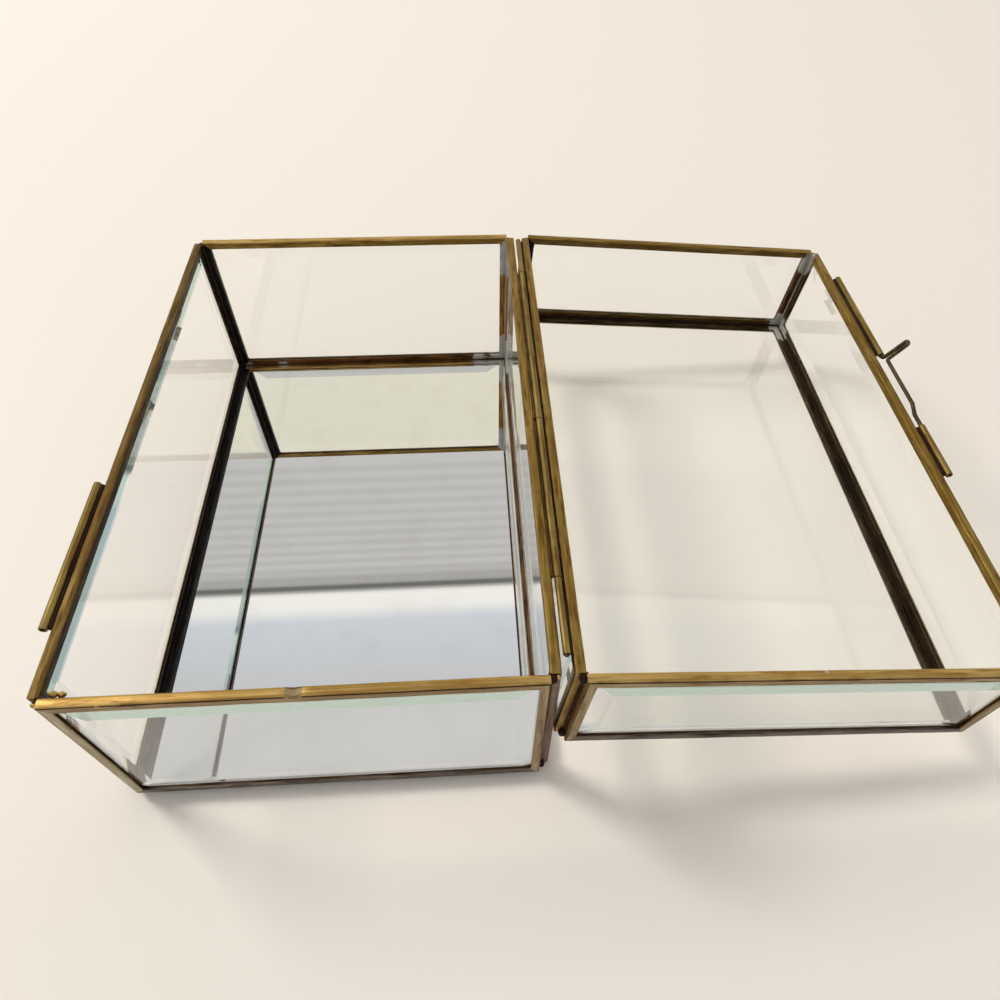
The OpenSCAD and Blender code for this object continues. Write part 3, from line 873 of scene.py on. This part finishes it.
BAR_FINISH = {
    # At the base's far corners the inner flanges are near black on the latch side and golden brown on the hinge
    # side: partly patina, partly painted reflection.
    ("base_far_frame", "inner", "last"): BLACK_BRASS,
    ("base_far_frame", "inner", "first"): GOLDEN_BROWN,
    ("base_far_frame", "inner", "rim"): OLIVE_BRASS,
    ("lid_far_frame", "inner", "rim"): RIM_BRASS,
    ("lid_far_frame", "inner", "last"): BLACK_BRASS,
    ("lid_far_frame", "inner", "first"): BROWN_BRASS,
    ("lid_far_frame", "inner", "foot"): RIM_BRASS,
    ("base_hinge_frame", "inner", "last"): GOLDEN_BROWN,
    # Painted shade: the flanges that face each other across the gap at the hinge get dark finishes.
    ("base_hinge_frame", "outer", "rim"): UMBER_BRASS,
    ("lid_hinge_frame", "outer", "rim"): GAP_SHADE,
    ("lid_hinge_frame", "crease", "rim"): GAP_SHADE,
    ("floor_frame", "inner", "first"): BLACK_BRASS,
    ("floor_frame", "inner", "foot"): RAIL_BRASS,
    ("base_near_frame", "outer", "first"): KHAKI_BRASS,
    ("base_latch_frame", "inner", "last"): FOOT_BRASS,
    ("base_hinge_frame", "web", "first"): TAUPE_BRASS,
    ("base_latch_frame", "inner", "rim"): UMBER_BRASS,
    ("lid_latch_frame", "inner", "rim"): OLIVE_BRASS,
    ("lid_top_frame", "inner", "foot"): TIN,
    ("lid_hinge_frame", "web", "foot"): FOOT_BRASS,
    ("base_near_frame", "outer", "foot"): FOOT_BRASS,
    ("base_near_frame", "web", "foot"): FOOT_BRASS,
    ("lid_near_frame", "outer", "foot"): FOOT_BRASS,
    ("lid_near_frame", "web", "foot"): FOOT_BRASS,
    ("lid_top_frame", "outer", "foot"): FOOT_BRASS,
    ("lid_top_frame", "web", "foot"): FOOT_BRASS,
}

# Places where the solder ran over the brass, and one painted highlight on the near rim's dent: middle and reach,
# in the shut box
TIN_AND_GLINT_SHARE = 1.5
TIN_AND_GLINT_SPOTS = [
    (Vector((flat_inner_x, flat_inner_y, base_rim - 7 * MM)), 8 * MM),
    (Vector((flat_inner_x, flat_inner_y, base_rim - 16 * MM)), 9 * MM),
    (Vector((flat_inner_x, flat_inner_y, floor_top)), 14 * MM),
    (Vector((flat_inner_x, flat_inner_y, floor_top + 12 * MM)), 8 * MM),
    (Vector((flat_inner_x - 14 * MM, flat_inner_y, floor_top)), 7 * MM),
    (Vector((flat_inner_x, flat_inner_y - 12 * MM, floor_top)), 8 * MM),
    (Vector((-flat_inner_x + 3 * MM, flat_inner_y, floor_top)), 4 * MM),
    (Vector((-flat_inner_x + 20 * MM, flat_inner_y, floor_top)), 2.6 * MM),
    (Vector((-flat_inner_x + 23 * MM, flat_inner_y, floor_top)), 3 * MM),
    # Painted highlight: a silver patch that stands for the glint on the near rim's dent
    (Vector((-0.2 * MM, -flat_inner_y - 1.6 * MM, base_rim)), 2.4 * MM),
    (Vector((-flat_inner_x, flat_inner_y, lid_top)), 11 * MM),
    (Vector((-flat_inner_x, flat_inner_y - 9 * MM, lid_top)), 6 * MM),
    (Vector((-flat_inner_x, flat_inner_y, lid_rim + 6 * MM)), 9 * MM),
]


def paint_tin_and_glint(piece):
    """Marks how near each point lies to a place where solder ran over the brass, and to the painted highlight on
    the near rim's dent.
    """
    layer = piece.data.attributes.new("tinned", "FLOAT", "POINT")
    for index, vertex in enumerate(piece.data.vertices):
        near = [(1 - (vertex.co - spot).length / reach) * TIN_AND_GLINT_SHARE for spot, reach in TIN_AND_GLINT_SPOTS]
        layer.data[index].value = max(0.0, *near)


for seed, (node, (a, b, width, place)) in enumerate(flats.items()):
    channel = folded_channel(node.replace("frame", "channel"), a, b, width, seed)
    dress_channel(channel, node, a, b)
    put(channel, place)
    paint_tin_and_glint(channel)
    fit(channel, body_of_node[node], "channel_brass", node)
    if node != "floor_frame":
        rim_glass = BEVEL_GLASS if node in GREEN_RIMS else PANE_GLASS
        pane = bevelled_pane(node.replace("frame", "pane"), a, b, rim_glass)
        put(pane, place)
        fit(pane, body_of_node[node], "clear_glass", node.replace("frame", "glass"))
plate = mirror_plate()
fit(plate, "base", "floor_mirror", "floor_mirror")

uprights, levels = seam_beads("base", floor_top, floor_top, base_rim - FOLD, seed=20)
drops = notch_solder("base", floor_top + DROP_OFF_FLAT, base_rim - DROP_OFF_RIM, seed=40)
drops += gold_drops(seed=55)
fit(join("base_corner_beads", uprights + drops), "base", "solder", "base_corner_solder")
fit(join("floor_beads", levels), "base", "solder", "floor_solder")
uprights, levels = seam_beads("lid", lid_top, lid_rim + FOLD, lid_top, seed=60)
drops = notch_solder("lid", lid_rim + DROP_OFF_RIM, lid_top - DROP_OFF_FLAT, seed=80)
fit(join("lid_corner_beads", uprights + drops), "lid", "solder", "lid_corner_solder")
fit(join("lid_top_beads", levels), "lid", "solder", "lid_top_solder")

for seed, (node, wall_side) in enumerate(TUBE_SIDE.items(), 100):
    body = body_of_node[node]
    foot_finish = DARK_SOLDER if wall_side > 0 or body == "lid" else OLD_SOLDER
    tube = rolled_tube(node, wall_side, body == "lid", foot_finish, seed)
    fit(tube, body, "tube_brass", node)

for node in ("hinge_pin", "latch_bolt"):
    nodes[node].data.materials[0] = WIRE_BRASS


# ---------------------------------------------------------------- stage

# Room behind the box: height over distance of each tone, up to WINDOW_TOP
WINDOW_TOP = 3.0
WINDOW_TONES = [
    (0.2, colour(240, 236, 224)), (0.80, colour(242, 236, 214)), (1.07, colour(238, 232, 211)),
    (1.10, colour(206, 204, 200)), (1.50, colour(206, 203, 198)), (1.57, colour(176, 173, 168)),
    (1.582, colour(116, 115, 112)), (1.598, colour(120, 118, 115)), (1.62, colour(255, 252, 243)),
    (1.69, colour(253, 250, 243)), (1.76, colour(216, 220, 224)), (2.15, colour(208, 208, 208)),
]
SLAT_FOOT = 1.12
SLAT_TOP = 1.57
SLAT_STEP = 0.037
SLAT_DEPTH = 0.05
NEAR_SIDE_TONE = colour(196, 195, 196)
NEAR_SIDE_FADE = (-0.1, 0.3)

FLOOR_TONE = colour(248, 241, 233)
FLOOR_SIZE = 6

# Lamps, both in one place: size and watts of the one for dull surfaces and the one for shine
LAMP_PLACE = Vector((-2.2, 1.3, 2.55))
LAMP_TINT = (1.0, 0.95, 0.87)
DULL_LAMP = (1.05, 62)
SHINE_LAMP = (1.2, 28)


def pale_floor():
    """Plain floor, far enough under the box to stay clear of the brass's waves."""
    bpy.ops.mesh.primitive_plane_add(size=FLOOR_SIZE, location=(0, 0, -BRASS_WOBBLE))
    floor = bpy.context.object
    floor.name = "pale_floor"
    material, tree, shader = new_material("pale_floor")
    shader.inputs["Base Color"].default_value = FLOOR_TONE
    shader.inputs["Roughness"].default_value = 0.5
    floor.data.materials.append(material)


def soft_world():
    """Pale room: a slatted window behind the box, and a greyer near side."""
    world = bpy.data.worlds.new("soft_world")
    bpy.context.scene.world = world
    world.use_nodes = True
    tree = world.node_tree
    background = tree.nodes["Background"]
    way = tree.nodes.new("ShaderNodeTexCoord").outputs["Generated"]
    parts = add_node(tree, "ShaderNodeSeparateXYZ", Vector=way)
    up, back = parts.outputs["Z"], parts.outputs["Y"]
    rise = maths(tree, "DIVIDE", up, maths(tree, "MAXIMUM", back, 0.05))
    ramp = tree.nodes.new("ShaderNodeValToRGB")
    tree.links.new(maths(tree, "DIVIDE", rise, WINDOW_TOP), ramp.inputs[0])
    stops = ramp.color_ramp.elements
    for index, (place, tone) in enumerate(WINDOW_TONES):
        stop = stops[index] if index < 2 else stops.new(place / WINDOW_TOP)
        stop.position = place / WINDOW_TOP
        stop.color = tone
    slats = maths(tree, "SINE", maths(tree, "MULTIPLY", rise, 2 * math.pi / SLAT_STEP))
    slats = maths(tree, "MULTIPLY_ADD", slats, SLAT_DEPTH, 1 - SLAT_DEPTH)
    in_slats = maths(tree, "MULTIPLY", maths(tree, "LESS_THAN", rise, SLAT_TOP),
                     maths(tree, "GREATER_THAN", rise, SLAT_FOOT))
    dim = maths(tree, "MULTIPLY_ADD", maths(tree, "SUBTRACT", slats, 1.0), in_slats, 1.0)
    grey = add_node(tree, "ShaderNodeCombineXYZ", X=dim, Y=dim, Z=dim)
    window = tree.nodes.new("ShaderNodeVectorMath")
    window.operation = "MULTIPLY"
    tree.links.new(ramp.outputs[0], window.inputs[0])
    tree.links.new(grey.outputs[0], window.inputs[1])
    tone = blend_colours(tree, spread(tree, back, *NEAR_SIDE_FADE), NEAR_SIDE_TONE,
                         window.outputs[0])
    tree.links.new(tone, background.inputs["Color"])
    background.inputs["Strength"].default_value = 1.0


def soft_lamp(name, size, watts, for_shine):
    """Round lamp that lights either dull surfaces or shiny ones, and isn't seen in glass."""
    lamp = bpy.data.lights.new(name, "AREA")
    lamp.shape = "DISK"
    lamp.size = size
    lamp.energy = watts
    lamp.color = LAMP_TINT
    # Without it the brass still shines, and the mirror shows no disc of light
    lamp.cycles.use_multiple_importance_sampling = not for_shine
    stand = bpy.data.objects.new(name, lamp)
    bpy.context.scene.collection.objects.link(stand)
    stand.location = LAMP_PLACE
    stand.rotation_mode = "QUATERNION"
    stand.rotation_quaternion = (-LAMP_PLACE).to_track_quat("-Z", "Y")
    stand.visible_transmission = False
    stand.visible_glossy = for_shine
    stand.visible_diffuse = not for_shine


def main_camera():
    """Camera that looks down into the open box."""
    lens = bpy.data.cameras.new("camera")
    lens.lens = CAMERA_LENS
    lens.sensor_width = 36
    lens.shift_x = CAMERA_SHIFT
    lens.clip_start = 0.01
    camera = bpy.data.objects.new("camera", lens)
    bpy.context.scene.collection.objects.link(camera)
    ahead = Vector((
        math.sin(CAMERA_AZIMUTH) * math.cos(CAMERA_ELEVATION),
        math.cos(CAMERA_AZIMUTH) * math.cos(CAMERA_ELEVATION),
        -math.sin(CAMERA_ELEVATION),
    ))
    camera.location = CAMERA_PLACE
    camera.rotation_mode = "QUATERNION"
    camera.rotation_quaternion = (
        ahead.to_track_quat("-Z", "Y") @ Quaternion((0, 0, 1), CAMERA_ROLL))
    bpy.context.scene.camera = camera


pale_floor()
soft_world()
soft_lamp("window", *DULL_LAMP, False)
soft_lamp("window_glow", *SHINE_LAMP, True)
main_camera()
bpy.context.scene.view_settings.view_transform = "Standard"
